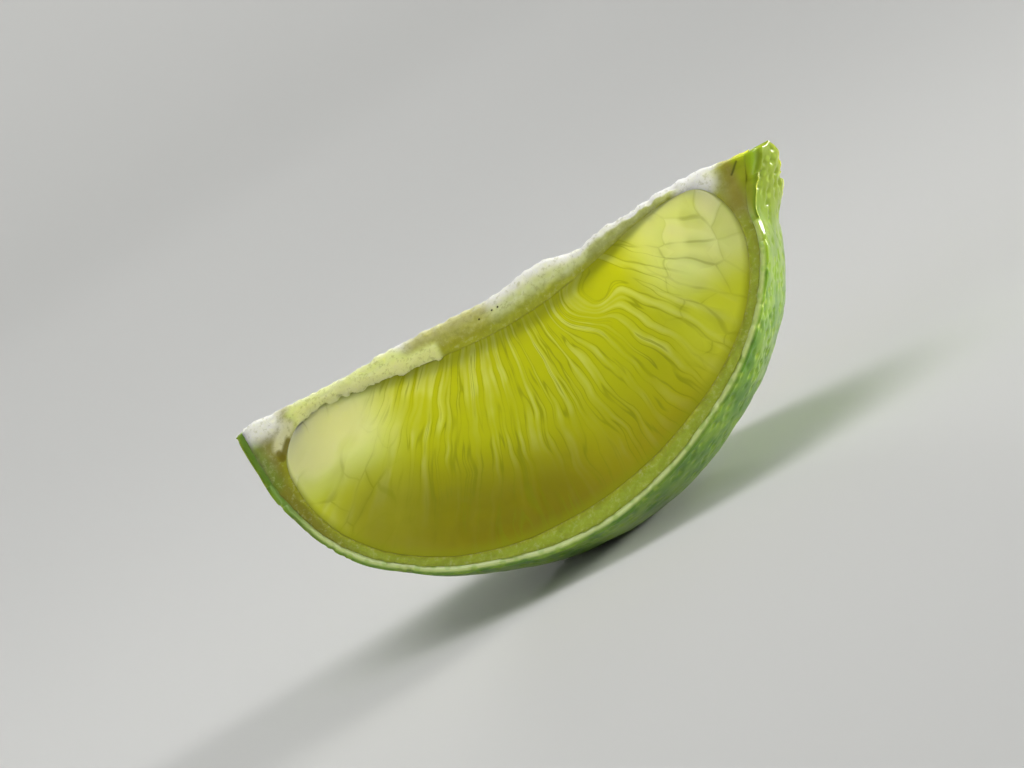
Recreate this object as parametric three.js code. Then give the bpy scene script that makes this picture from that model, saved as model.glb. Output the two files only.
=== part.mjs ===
// A wedge of lime: one sixth of the fruit, cut lengthwise along its core and standing on its rind.
// +X runs from the stem end to the blossom end, the two cuts look towards -Y and +Y, and +Z is up.
// Every piece is one flat section of the fruit, swept about the line where the two cuts meet.
// A point of a section is [x, r]: x along the fruit, r the distance from that line. Millimetres.
import * as THREE from 'three';
import { mergeVertices } from 'three/addons/utils/BufferGeometryUtils.js';

// ---- driving dimensions ----
const WEDGE_ANGLE = THREE.MathUtils.degToRad(60);
const CUT_LINE_HEIGHT = 26.25; // of the line where the cuts meet, above the table
const RIND_THICKNESS = 0.85; // the green outer skin
const TISSUE_GAP = 0.14; // left open between two tissues
const X_CENTRE = 0.2; // brings the middle of the length to x = 0

// The skin, from the stem scar round the belly to the foot of the nipple.
const SKIN_OUTLINE = [
  [-30.0, 0.8], [-29.55, 3.9], [-28.2, 9.4], [-24.25, 16.5], [-17.25, 22.05], [-9.4, 25.2],
  [-1.35, 26.63], [6.7, 25.65], [14.2, 22.65], [20.7, 18.15], [24.85, 12.85], [26.6, 8.4],
  [26.6, 4.5], [26.7, 0.8],
];
// The pulp against the core, from its stem corner to its blossom corner.
const PULP_CORE_SIDE = [
  [-23.9, 3.1], [-21.7, 2.3], [-19.2, 2.1], [-14.0, 2.85], [-8.9, 3.55], [-3.8, 4.15], [1.1, 4.25],
  [6.0, 3.75], [10.8, 2.75], [15.5, 1.6], [19.3, 1.1], [21.9, 1.35],
];
// The pulp against the peel, between the same two corners.
const PULP_PEEL_SIDE = [
  [-23.9, 3.1], [-25.4, 4.6], [-26.0, 6.1], [-25.9, 8.2], [-24.6, 12.4], [-22.1, 16.1],
  [-17.0, 20.2], [-9.2, 23.3], [-1.8, 24.05], [5.4, 23.3], [12.4, 21.0], [19.0, 17.1],
  [22.8, 12.9], [24.4, 9.0], [24.65, 6.3], [23.8, 3.4], [21.9, 1.35],
];
// The torn crest of the core, along the top of the wedge.
const CREST = [
  [-29.0, 0.7], [-26.5, 0.7], [-22.0, 0.95], [-17.0, 1.1], [-12.0, 0.92], [-6.0, 1.1], [-0.3, 1.25],
  [3.7, 0.66], [5.7, 0.57], [8.0, 1.15], [9.6, 1.25], [11.6, 0.75], [15.4, 0.57], [19.3, 0.27],
  [23.1, 0.35], [25.7, 0.6],
];
const CREST_RAGGEDNESS = 0.12;
const CREST_CROWN = 0.35; // how far the middle of the crest stands above its two edges

// The nipple at the blossom end leans away from the front cut. Tissue stretches into it more and
// more between `from` and `to` along the fruit.
const NIPPLE = { height: 4.4, radius: 8.2, y: 3.05, drop: 1.0, from: 21.9, to: 25.7 };
const NIPPLE_SHARE_INSIDE = 0.6; // the green rind is thicker there

// Relief of the cut faces and of the skin, drawn larger than life.
const SAC_HEIGHT = 0.4;
const SAC_FOCUS_R = -9.3; // the juice sacs fan out from a point this far beyond the cut line
const WIDE_SAC_ANGLE = THREE.MathUtils.degToRad(44); // past it the sacs are twice as wide
const FIBRE_HEIGHT = 0.15;
const LIP = { height: 0.55, from: -25, to: -7 }; // torn membrane on the front of the core
const PORE_DEPTH = 0.12;

// ---- how finely each piece is divided ----
const PULP_COLUMNS = 60;
const PULP_ROWS = 11;
const PITH_COLUMNS = 40;
const RIND_COLUMNS = 56;
const SWEEP_STEPS = 7;
const RIND_SWEEP_STEPS = 14;

// A repeatable scatter between -1 and 1 for a pair of whole numbers.
function scatter(a, b) {
  const wave = Math.sin(a * 12.9898 + b * 78.233) * 43758.5453;
  return 2 * (wave - Math.floor(wave)) - 1;
}

function curveThrough(points) {
  const corners = points.map(([x, r]) => new THREE.Vector3(x, r, 0));
  return new THREE.CatmullRomCurve3(corners, false, 'centripetal');
}

// Evenly spaced points of a curve, each moved sideways by `offset` (to the left of its direction).
function offsetPoints(curve, count, offset) {
  const points = [];
  for (let i = 0; i <= count; i += 1) {
    const point = curve.getPointAt(i / count);
    const along = curve.getTangentAt(i / count);
    points.push([point.x - along.y * offset, point.y + along.x * offset]);
  }
  return points;
}

// The point of a curve that is seen from the sac focus at a given angle from straight down.
function pointAtAngle(curve, angle) {
  const angleAt = (t) => {
    const point = curve.getPoint(t);
    return Math.atan2(point.x, point.y - SAC_FOCUS_R);
  };
  let low = 0;
  let high = 1;
  for (let i = 0; i < 40; i += 1) {
    const middle = (low + high) / 2;
    if (angleAt(middle) < angle) low = middle;
    else high = middle;
  }
  return curve.getPoint((low + high) / 2);
}

// A node of a section: its place, the share of the nipple and of the crest's crown that it takes,
// and how far it stands out of the front and of the back cut.
function sectionNode(x, r, extra = {}) {
  const node = { x, r, nipple: 0, crown: 0, front: 0, back: 0, ...extra };
  const stretch = THREE.MathUtils.inverseLerp(NIPPLE.from, NIPPLE.to, x);
  node.nipple *= THREE.MathUtils.clamp(stretch, 0, 1);
  return node;
}

function nippleRise(y, z) {
  const reach = Math.hypot(y - NIPPLE.y, z - (CUT_LINE_HEIGHT - NIPPLE.drop)) / NIPPLE.radius;
  return reach < 1 ? NIPPLE.height * (1 - reach * reach) ** 2 : 0;
}

// Where a node of the section lies in space when the section is turned by `angle`.
function sweptPoint(node, angle) {
  const share = (2 * angle) / WEDGE_ANGLE;
  const y = node.r * Math.sin(angle);
  const crown = node.crown * CREST_CROWN * (1 - share * share);
  const z = CUT_LINE_HEIGHT - node.r * Math.cos(angle) + crown;
  return new THREE.Vector3(node.x - X_CENTRE + node.nipple * nippleRise(y, z), y, z);
}

// The same node on one of the two cuts, standing out of it by its own relief.
function cutPoint(node, side) {
  const point = sweptPoint(node, (side * WEDGE_ANGLE) / 2);
  const relief = side < 0 ? node.front : node.back;
  point.y += side * relief * Math.cos(WEDGE_ANGLE / 2);
  point.z += relief * Math.sin(WEDGE_ANGLE / 2);
  return point;
}

// Edges that only one face of the section uses: they draw its walls when it is swept.
function outerEdges(faces) {
  const edges = new Map();
  faces.forEach((face) => face.forEach((from, i) => {
    const to = face[(i + 1) % face.length];
    if (from === to) return;
    if (edges.has(`${to},${from}`)) edges.delete(`${to},${from}`);
    else edges.set(`${from},${to}`, [from, to]);
  }));
  return [...edges.values()];
}

// Sweeps a section of nodes and four-cornered faces from one cut to the other, as a closed solid.
// `finish` may move a point of the swept walls.
function sweptSolid(nodes, faces, steps, finish = (point) => point) {
  const positions = [];
  const quad = (a, b, c, d) => {
    [[a, b, c], [a, c, d]].forEach((triangle) => triangle.forEach((p) => positions.push(...p)));
  };
  const cuts = [-1, 1].map((side) => nodes.map((node) => cutPoint(node, side)));
  faces.forEach(([a, b, c, d]) => {
    quad(cuts[0][a], cuts[0][b], cuts[0][c], cuts[0][d]);
    quad(cuts[1][d], cuts[1][c], cuts[1][b], cuts[1][a]);
  });
  const stations = [];
  for (let k = 0; k <= steps; k += 1) {
    const angle = (k / steps - 0.5) * WEDGE_ANGLE;
    stations.push(nodes.map((node, i) => finish(sweptPoint(node, angle), i, k)));
  }
  outerEdges(faces).forEach(([a, b]) => {
    for (let k = 0; k < steps; k += 1) {
      quad(stations[k][b], stations[k][a], stations[k + 1][a], stations[k + 1][b]);
    }
  });
  return closedGeometry(positions);
}

// Merges the corners, drops faces that have shrunk to a line, and turns the shell outside out.
function closedGeometry(positions) {
  const loose = new THREE.BufferGeometry();
  loose.setAttribute('position', new THREE.Float32BufferAttribute(positions, 3));
  const merged = mergeVertices(loose, 1e-4);
  const corner = merged.getIndex().array;
  const place = merged.getAttribute('position');
  const kept = [];
  let volume = 0;
  for (let i = 0; i < corner.length; i += 3) {
    const [a, b, c] = [corner[i], corner[i + 1], corner[i + 2]];
    if (a !== b && b !== c && c !== a) {
      kept.push(a, b, c);
      const [p, q, s] = [a, b, c].map((n) => new THREE.Vector3().fromBufferAttribute(place, n));
      volume += p.dot(q.cross(s));
    }
  }
  merged.setIndex(volume > 0 ? kept : kept.reverse());
  merged.computeVertexNormals();
  return merged;
}

// ---- pulp ----
// Juice sacs lie in strands along the columns, each strand broken into sacs at its own rows.
function sacRelief(column, row, angle, face) {
  const width = Math.abs(angle) > WIDE_SAC_ANGLE ? 4 : 2;
  const strand = Math.floor(column / width);
  const across = Math.sin((Math.PI * (column % width)) / width);
  const length = 4 + Math.round(scatter(strand, face));
  const start = Math.round(3 * scatter(strand + 7, face));
  const along = (((row + start) % length) + length) % length === 0 ? 0.35 : 1;
  return SAC_HEIGHT * across * along * (0.8 + 0.2 * scatter(column, row + face));
}

function pulpSection() {
  const coreSide = curveThrough(PULP_CORE_SIDE);
  const peelSide = curveThrough(PULP_PEEL_SIDE);
  const angleOf = ([x, r]) => Math.atan2(x, r - SAC_FOCUS_R);
  const first = angleOf(PULP_CORE_SIDE[0]);
  const last = angleOf(PULP_CORE_SIDE[PULP_CORE_SIDE.length - 1]);
  const nodes = [];
  const index = [];
  for (let i = 0; i <= PULP_COLUMNS; i += 1) {
    const angle = first + ((last - first) * i) / PULP_COLUMNS;
    const top = pointAtAngle(coreSide, angle);
    const bottom = pointAtAngle(peelSide, angle);
    const isCorner = i === 0 || i === PULP_COLUMNS;
    index.push([]);
    for (let j = 0; j <= PULP_ROWS; j += 1) {
      const isEdge = isCorner || j === 0 || j === PULP_ROWS;
      const place = top.clone().lerp(bottom, j / PULP_ROWS);
      const front = isEdge ? 0 : sacRelief(i, j, angle, 1);
      const back = isEdge ? 0 : sacRelief(i, j, angle, 2);
      if (!isCorner || j === 0) nodes.push(sectionNode(place.x, place.y, { front, back }));
      index[i].push(nodes.length - 1);
    }
  }
  return { nodes, faces: gridFaces(index) };
}

// Four-cornered faces between the rows and columns of a table of node numbers.
function gridFaces(index) {
  const faces = [];
  for (let i = 0; i + 1 < index.length; i += 1) {
    for (let j = 0; j + 1 < index[i].length; j += 1) {
      faces.push([index[i][j], index[i][j + 1], index[i + 1][j + 1], index[i + 1][j]]);
    }
  }
  return faces;
}

// ---- pith ----
// The loop along the pulp: its core side from stem to blossom, then back along the peel.
function pithInnerLoop() {
  const top = offsetPoints(curveThrough(PULP_CORE_SIDE), PITH_COLUMNS, -TISSUE_GAP);
  const bottom = offsetPoints(curveThrough(PULP_PEEL_SIDE), PITH_COLUMNS, TISSUE_GAP);
  return joinedLoop(top, bottom);
}

// The loop along the crest and the inside of the rind.
function pithOuterLoop() {
  const rindSide = offsetPoints(curveThrough(SKIN_OUTLINE), PITH_COLUMNS, -RIND_THICKNESS - TISSUE_GAP);
  const crest = curveThrough([rindSide[0], ...CREST.slice(1, -1), rindSide[PITH_COLUMNS]]);
  const top = offsetPoints(crest, PITH_COLUMNS, 0);
  top.slice(1, -1).forEach((point, i) => {
    point[1] = Math.max(0.2, point[1] + CREST_RAGGEDNESS * scatter(i, 5));
  });
  return joinedLoop(top, rindSide);
}

// Two runs between the same two ends make one loop; the ends are shared.
function joinedLoop(top, bottom) {
  const start = middleOf(top[0], bottom[0]);
  const end = middleOf(top[top.length - 1], bottom[bottom.length - 1]);
  return [start, ...top.slice(1, -1), end, ...bottom.slice(1, -1).reverse()];
}

function middleOf(a, b) {
  return [(a[0] + b[0]) / 2, (a[1] + b[1]) / 2];
}

function lipRelief(x) {
  const share = (x - LIP.from) / (LIP.to - LIP.from);
  if (share <= 0 || share >= 1) return 0;
  return LIP.height * Math.sqrt(Math.sin(Math.PI * share));
}

function pithSection() {
  const inner = pithInnerLoop();
  const outer = pithOuterLoop();
  const nodes = [];
  const index = inner.map(([xIn, rIn], k) => {
    const [xOut, rOut] = outer[k];
    const onCore = k > 0 && k < PITH_COLUMNS;
    const x = (xIn + xOut) / 2;
    const fibre = FIBRE_HEIGHT * Math.abs(scatter(k, 3));
    nodes.push(sectionNode(xIn, rIn));
    nodes.push(sectionNode(x, (rIn + rOut) / 2, {
      nipple: 0.5 * NIPPLE_SHARE_INSIDE,
      front: fibre + (onCore ? lipRelief(x) : 0),
      back: fibre,
    }));
    nodes.push(sectionNode(xOut, rOut, { nipple: NIPPLE_SHARE_INSIDE, crown: onCore ? 1 : 0 }));
    return [3 * k, 3 * k + 1, 3 * k + 2];
  });
  index.push(index[0]);
  return { nodes, faces: gridFaces(index) };
}

// ---- rind ----
function rindSection() {
  const skin = curveThrough(SKIN_OUTLINE);
  const outside = offsetPoints(skin, RIND_COLUMNS, 0);
  const inside = offsetPoints(skin, RIND_COLUMNS, -RIND_THICKNESS);
  const nodes = [];
  const index = outside.map(([xOut, rOut], i) => {
    const [xIn, rIn] = inside[i];
    const isEnd = i === 0 || i === RIND_COLUMNS;
    const gland = isEnd ? 0 : FIBRE_HEIGHT * (i % 2);
    const middleShare = (1 + NIPPLE_SHARE_INSIDE) / 2;
    const middle = { nipple: middleShare, front: gland, back: gland };
    nodes.push(sectionNode(xIn, rIn, { nipple: NIPPLE_SHARE_INSIDE }));
    nodes.push(sectionNode((xIn + xOut) / 2, (rIn + rOut) / 2, middle));
    nodes.push(sectionNode(xOut, rOut, { nipple: 1 }));
    return [3 * i, 3 * i + 1, 3 * i + 2];
  });
  return { nodes, faces: gridFaces(index) };
}

// Pores pit the skin, and the wedge stands on a small flat where its own weight presses it.
function finishSkin(point, node, station) {
  const isOutside = node % 3 === 2;
  if (!isOutside) return point;
  const isRim = station === 0 || station === RIND_SWEEP_STEPS || point.x < -28 || point.x > 26;
  const column = (node - 2) / 3;
  const pore = isRim ? 0 : PORE_DEPTH * ((column + station) % 2) * (0.6 + 0.4 * scatter(column, station));
  const towardsAxis = new THREE.Vector3(0, -point.y, CUT_LINE_HEIGHT - point.z).normalize();
  point.addScaledVector(towardsAxis, pore);
  point.z = Math.max(point.z, 0);
  return point;
}

// ---- the wedge ----
function pieceOf(name, geometry, color, roughness) {
  const material = new THREE.MeshStandardMaterial({ color, roughness, metalness: 0 });
  const mesh = new THREE.Mesh(geometry, material);
  mesh.name = name;
  return mesh;
}

function makePulp() {
  const { nodes, faces } = pulpSection();
  return pieceOf('pulp', sweptSolid(nodes, faces, SWEEP_STEPS), 0xb9c234, 0.25);
}

function makePith() {
  const { nodes, faces } = pithSection();
  return pieceOf('pith', sweptSolid(nodes, faces, SWEEP_STEPS), 0xe9edd2, 0.8);
}

function makeRind() {
  const { nodes, faces } = rindSection();
  const geometry = sweptSolid(nodes, faces, RIND_SWEEP_STEPS, finishSkin);
  return pieceOf('rind', geometry, 0x4f8a1d, 0.35);
}

const limeWedge = new THREE.Group();
limeWedge.add(makeRind(), makePith(), makePulp());

export default limeWedge;
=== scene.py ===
# %% [markdown]
# # A wedge of lime, lit from behind
# A wedge is one sixth of a lime, cut lengthwise. Three tissues show on its two cuts: the pulp, which
# is a pack of juice sacs; the white pith, which is the core and the inner peel; and the green rind.
# The wedge stands on its rind. Lengths below are in millimetres until they meet Blender, which takes
# metres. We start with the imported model: it is a fixed frame, and each of its three nodes is later
# replaced by a finer piece of the same form.

import math

import bpy
from mathutils import Matrix, Vector


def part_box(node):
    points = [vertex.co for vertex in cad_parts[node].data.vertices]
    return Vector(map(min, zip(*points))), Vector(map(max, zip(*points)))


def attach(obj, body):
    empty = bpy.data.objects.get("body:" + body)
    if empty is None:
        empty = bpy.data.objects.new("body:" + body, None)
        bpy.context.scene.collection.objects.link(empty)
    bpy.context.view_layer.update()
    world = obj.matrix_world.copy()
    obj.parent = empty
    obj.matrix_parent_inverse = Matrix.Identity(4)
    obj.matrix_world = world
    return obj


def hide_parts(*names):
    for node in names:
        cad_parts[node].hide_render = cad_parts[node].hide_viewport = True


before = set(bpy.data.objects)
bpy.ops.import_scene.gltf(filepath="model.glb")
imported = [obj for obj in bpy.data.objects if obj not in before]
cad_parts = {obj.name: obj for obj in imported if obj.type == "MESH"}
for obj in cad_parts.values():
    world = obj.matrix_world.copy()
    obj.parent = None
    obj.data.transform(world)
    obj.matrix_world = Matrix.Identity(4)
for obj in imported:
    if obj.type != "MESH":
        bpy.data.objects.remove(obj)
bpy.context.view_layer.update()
bpy.ops.object.select_all(action="DESELECT")

# %% [markdown]
# ## Helpers for units, colours and nodes
# Colours are written as the hex values that a screen shows, so one function turns them into the
# linear values that Blender calculates with. Another adds a node to any tree: keyword arguments are
# its options, and `inputs` gives each socket either a plain value or another node's output.

# %% Units, colours, nodes
MM = 0.001


def linear(hex_code):
    """The linear colour for an sRGB hex code such as "#c8d23c"."""
    channels = [int(hex_code[i:i + 2], 16) / 255 for i in (1, 3, 5)]
    return [c / 12.92 if c <= 0.04045 else ((c + 0.055) / 1.055) ** 2.4 for c in channels] + [1.0]


def add(tree, kind, inputs=None, **options):
    """Adds a node, sets its options and fills its sockets with values or links."""
    node = tree.nodes.new(kind)
    for option, value in options.items():
        setattr(node, option, value)
    for socket, value in (inputs or {}).items():
        if isinstance(value, bpy.types.NodeSocket):
            tree.links.new(value, node.inputs[socket])
        else:
            node.inputs[socket].default_value = value
    return node


print("lime green in linear light:", [round(c, 3) for c in linear("#6aa81e")])

# %% [markdown]
# ## The camera's view
# A long lens from over a third of a metre away gives the calm, nearly flat view of product pictures. The
# camera looks a little down and a little along the wedge. It is also rolled, so that the wedge, which
# stands level, runs from the lower left to the upper right of the frame. Turning the camera by hand
# until this looks right is slow, so its three axes are worked out from the three angles.

# %% Directions of view
VIEW_AZIMUTH, VIEW_ELEVATION, VIEW_ROLL = 17.11, 8.43, 31.64  # degrees

azimuth, elevation, roll = map(math.radians, (VIEW_AZIMUTH, VIEW_ELEVATION, VIEW_ROLL))
towards_camera = Vector((math.sin(azimuth) * math.cos(elevation),
                         -math.cos(azimuth) * math.cos(elevation), math.sin(elevation)))
level_right = Vector((0, 0, 1)).cross(towards_camera).normalized()
level_up = towards_camera.cross(level_right)
right = level_right * math.cos(roll) - level_up * math.sin(roll)
up = level_right * math.sin(roll) + level_up * math.cos(roll)
print("towards the camera:", [round(c, 3) for c in towards_camera])

# %% [markdown]
# ## The camera's aim
# A picture is framed either by shifting the lens or by turning the camera. Here the camera is turned:
# the aim is worked out from where one point on the cut line has to fall in the frame.

# %% Camera
CUT_LINE_HEIGHT = 26.25  # the line where the two cuts would meet, above the table
FRAME_WIDTH, FRAME_HEIGHT = 1024, 768
LENS, SENSOR_WIDTH = 135.0, 36.0
VIEW_DISTANCE = 364.2
MARK = Vector((-0.2, 0.0, CUT_LINE_HEIGHT - 2.1)) * MM  # this point falls on MARK_PIXEL
MARK_PIXEL = (502.05, 305.61)

pixel = VIEW_DISTANCE * MM / (LENS / SENSOR_WIDTH * FRAME_WIDTH)
aim = (MARK + right * (FRAME_WIDTH / 2 - MARK_PIXEL[0]) * pixel
       - up * (FRAME_HEIGHT / 2 - MARK_PIXEL[1]) * pixel)
eye = MARK + towards_camera * VIEW_DISTANCE * MM
back = (eye - aim).normalized()
side = (right - right.dot(back) * back).normalized()

bpy.ops.object.camera_add(location=eye)
camera = bpy.context.object
camera.name = "product_camera"
camera.data.lens, camera.data.sensor_width = LENS, SENSOR_WIDTH
camera.rotation_euler = Matrix((side, back.cross(side), back)).transposed().to_euler()
bpy.context.scene.camera = camera
print("camera at", [round(c, 4) for c in eye])

# %% [markdown]
# ## The floor
# The floor is matt white card: almost no gloss, so it shows soft shadows and the faint green light
# that comes through the fruit. A plain disc would end in a horizon. Here a filled circle is extruded
# ring by ring into a very wide dish, so the card sweeps up all round and every side has a backdrop.

# %% Floor
FLOOR_RADIUS, DISH_RADIUS, DISH_RISE = 700, 1300, 900
DISH_STEP = 10  # degrees of the rising quarter circle in one extrusion


def finish_material(name, base):
    """A new material with one Principled shader; `base` fills the shader's sockets."""
    material = bpy.data.materials.new(name)
    material.use_nodes = True
    tree = material.node_tree
    tree.nodes.clear()
    shader = add(tree, "ShaderNodeBsdfPrincipled", base)
    add(tree, "ShaderNodeOutputMaterial", {"Surface": shader.outputs[0]})
    return material, tree, shader


bpy.ops.mesh.primitive_circle_add(vertices=128, radius=FLOOR_RADIUS * MM, fill_type="NOTHING")
floor = bpy.context.object
floor.name = "studio_floor"
bpy.ops.object.mode_set(mode="EDIT")
bpy.ops.mesh.edge_face_add()
for turn in range(DISH_STEP, 91, DISH_STEP):
    bpy.ops.mesh.select_all(action="DESELECT")
    bpy.ops.mesh.select_mode(type="EDGE")
    bpy.ops.mesh.select_non_manifold()
    bpy.ops.mesh.extrude_edges_move()
    swing = math.radians(turn)
    ring = FLOOR_RADIUS + (DISH_RADIUS - FLOOR_RADIUS) * math.sin(swing)
    bpy.ops.object.mode_set(mode="OBJECT")
    for vertex in (v for v in floor.data.vertices if v.select):
        vertex.co.xy = vertex.co.xy.normalized() * ring * MM
        vertex.co.z = DISH_RISE * MM * (1 - math.cos(swing))
    bpy.ops.object.mode_set(mode="EDIT")
bpy.ops.object.mode_set(mode="OBJECT")
bpy.ops.object.shade_smooth()
card, _, _ = finish_material("matt_white_card", {"Base Color": linear("#cececb"), "Roughness": 0.9})
floor.data.materials.append(card)
print("floor:", len(floor.data.polygons), "faces")

# %% [markdown]
# ## The lamps
# Citrus glows when light enters the far cut, wanders through the pulp and leaves by the near cut. So
# the strong lamps stand behind: one to the right, a weaker one to the left for the stem end, and a
# small one at the side that draws the rim of the rind. A lamp above and a dim one in front keep the
# crest and the rind readable, and one more only lights the card behind. All are soft boxes, because
# bare points would make hard spots on the wet pulp, and a dim sky lets the glow stand out.

# %% Lights
BEAM = 35  # degrees; the lamps behind shine on the wedge and little else


def soft_lamp(name, place, size, power, aim=(0, 0, 13), spread=120):
    """A soft box at `place`, in millimetres, that faces `aim`; its light fans out by `spread` degrees."""
    bpy.ops.object.light_add(type="AREA", location=Vector(place) * MM)
    lamp = bpy.context.object
    lamp.name = name
    lamp.data.shape = "RECTANGLE"
    lamp.data.size, lamp.data.size_y = size[0] * MM, size[1] * MM
    lamp.data.energy, lamp.data.spread = power, math.radians(spread)
    lamp.rotation_euler = (Vector(aim) * MM - lamp.location).to_track_quat("-Z", "Y").to_euler()
    lamp.visible_camera = False
    print(name, "gives", power, "W")


soft_lamp("back_lamp", (300, 1100, 160), (600, 240), 3.2, spread=BEAM)
soft_lamp("left_back_lamp", (-450, 1000, 140), (400, 200), 1.3, spread=BEAM)
soft_lamp("rim_lamp", (900, 250, 120), (300, 200), 0.75, spread=BEAM)
soft_lamp("top_lamp", (-100, -50, 900), (700, 700), 2.0)
soft_lamp("front_lamp", (-400, -800, 500), (500, 500), 0.6)
soft_lamp("backdrop_lamp", (0, 100, 1000), (500, 500), 3.2, aim=(-550, 1250, 250), spread=100)
sky = bpy.data.worlds.new("dim_studio")
sky.use_nodes = True
sky.node_tree.nodes["Background"].inputs["Color"].default_value = linear("#f4f6f8")
sky.node_tree.nodes["Background"].inputs["Strength"].default_value = 0.25
bpy.context.scene.world = sky
bpy.context.scene.view_settings.view_transform = "Standard"

# %% [markdown]
# ## One section for each tissue
# Every tissue of the wedge is one flat section, swept through 60 degrees about the line where the two
# cuts meet. A point of the section is (x, r): x along the fruit, from the stem end to the nipple, and
# r the distance from that line. Few points are needed, because a smooth curve runs through them.

# %% Outlines
WEDGE_ANGLE = math.radians(60)
X_CENTRE = 0.2  # brings the middle of the length to x = 0
SKIN_OUTLINE = [
    (-30.0, 0.8), (-29.55, 3.9), (-28.2, 9.4), (-24.25, 16.5), (-17.25, 22.05), (-9.4, 25.2),
    (-1.35, 26.63), (6.7, 25.65), (14.2, 22.65), (20.7, 18.15), (24.85, 12.85), (26.6, 8.4),
    (26.6, 4.5), (26.7, 0.8)]
PULP_CORE_SIDE = [
    (-22.9, 2.62), (-21.7, 2.3), (-19.2, 2.1), (-14.0, 2.85), (-8.9, 3.55), (-3.8, 4.15), (1.1, 4.25),
    (6.0, 3.75), (10.8, 2.75), (15.5, 1.6), (19.0, 1.1), (20.8, 1.12)]
PULP_PEEL_SIDE = [
    (-22.9, 2.62), (-24.0, 3.2), (-25.4, 4.6), (-26.0, 6.1), (-25.9, 8.2), (-24.6, 12.4), (-22.1, 16.1),
    (-17.0, 20.2), (-9.2, 23.3), (-1.8, 24.05), (5.4, 23.3), (12.4, 21.0), (19.0, 17.1),
    (22.8, 12.9), (24.4, 9.0), (24.65, 6.3), (23.9, 3.5), (22.9, 2.0), (21.8, 1.3), (20.8, 1.12)]
CREST = [
    (-29.0, 0.7), (-26.5, 0.7), (-22.0, 0.95), (-17.0, 1.1), (-12.0, 0.92), (-6.0, 1.1), (-0.3, 1.25),
    (3.7, 0.66), (5.7, 0.57), (8.0, 1.15), (9.6, 1.25), (11.6, 0.75), (15.4, 0.57), (19.3, 0.27),
    (23.1, 0.35), (25.7, 0.75)]


def place(x, r):
    """A point of the upright section, in metres."""
    return Vector((x - X_CENTRE, 0, CUT_LINE_HEIGHT - r)) * MM


def shifted(outline, distance):
    """The outline moved sideways by `distance`: positive is away from the cut line."""
    moved = []
    for i, (x, r) in enumerate(outline):
        before, after = outline[max(i - 1, 0)], outline[min(i + 1, len(outline) - 1)]
        along = Vector((after[0] - before[0], after[1] - before[1])).normalized()
        moved.append((x - along.y * distance, r + along.x * distance))
    return moved


print("the lime is", 2 * max(r for _, r in SKIN_OUTLINE), "mm across")

# %% [markdown]
# ## From an outline to a chain
# An outline becomes a Bezier curve whose handles smooth themselves. Converted as it is, every stretch
# between two points would get as many vertices, long or short, so a Resample Curve node first divides
# the curve evenly. Even chains give even faces, and relief looks the same all over them.

# %% Tracing
BEZIER_STEPS = 32  # between two points of an outline, before it is divided evenly


def geometry_tree(name):
    """A Geometry Nodes tree with one mesh or curve in and one out, and the socket it comes in by."""
    tree = bpy.data.node_groups.new(name, "GeometryNodeTree")
    for way in ("INPUT", "OUTPUT"):
        tree.interface.new_socket("Geometry", in_out=way, socket_type="NodeSocketGeometry")
    return tree, add(tree, "NodeGroupInput").outputs[0]


def trace(outline, count, group=None):
    """A chain of count + 1 even vertices along the smooth curve through the outline's points."""
    bpy.ops.curve.primitive_bezier_curve_add(location=(0, 0, 0))
    chain = bpy.context.object
    spline = chain.data.splines[0]
    spline.bezier_points.add(len(outline) - len(spline.bezier_points))
    for knot, (x, r) in zip(spline.bezier_points, outline):
        knot.co = place(x, r)
        knot.handle_left_type = knot.handle_right_type = "AUTO"
    chain.data.resolution_u = BEZIER_STEPS
    tree, curve = geometry_tree("even_spacing")
    evened = add(tree, "GeometryNodeResampleCurve", {"Curve": curve, "Count": count + 1})
    add(tree, "NodeGroupOutput", {"Geometry": evened.outputs[0]})
    chain.modifiers.new("even_spacing", "NODES").node_group = tree
    bpy.ops.object.convert(target="MESH")
    chain = bpy.context.object
    if group:
        chain.vertex_groups.new(name=group).add(range(count + 1), 1.0, "REPLACE")
    return chain


print("outline points of the skin:", len(SKIN_OUTLINE))

# %% [markdown]
# ## From two chains to a sheet
# Filling the outline of a tissue in one go would give long thin triangles. Two chains with as many
# vertices bridge into a clean grid of faces instead, which takes relief far better.

# %% Bridging
def bridge(first, second, cuts):
    """One sheet of faces between two chains that have as many vertices."""
    bpy.ops.object.select_all(action="DESELECT")
    first.select_set(True)
    second.select_set(True)
    bpy.context.view_layer.objects.active = first
    bpy.ops.object.join()
    bpy.ops.object.mode_set(mode="EDIT")
    bpy.ops.mesh.select_all(action="SELECT")
    bpy.ops.mesh.bridge_edge_loops(number_cuts=cuts, interpolation="LINEAR")
    bpy.ops.object.mode_set(mode="OBJECT")
    return bpy.context.object


print("outline points, core side and peel side:", len(PULP_CORE_SIDE), len(PULP_PEEL_SIDE))

# %% [markdown]
# ## Sweeping the section into a wedge
# The knife made two flat cuts, and the fruit is round between them, so the Spin tool is the natural
# one: it turns the sheet about the cut line and leaves a face strip along every edge of it. The sheet
# is first turned to where the far cut is. Doubles are merged and normals recalculated at the end.

# %% Sweep
CUT_LINE = Vector((0, 0, CUT_LINE_HEIGHT)) * MM
SAME_PLACE = 0.002 * MM  # vertices nearer than this are one
SHARP_ANGLE = math.radians(40)  # keeps the knife edges crisp and the rest smooth


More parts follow.
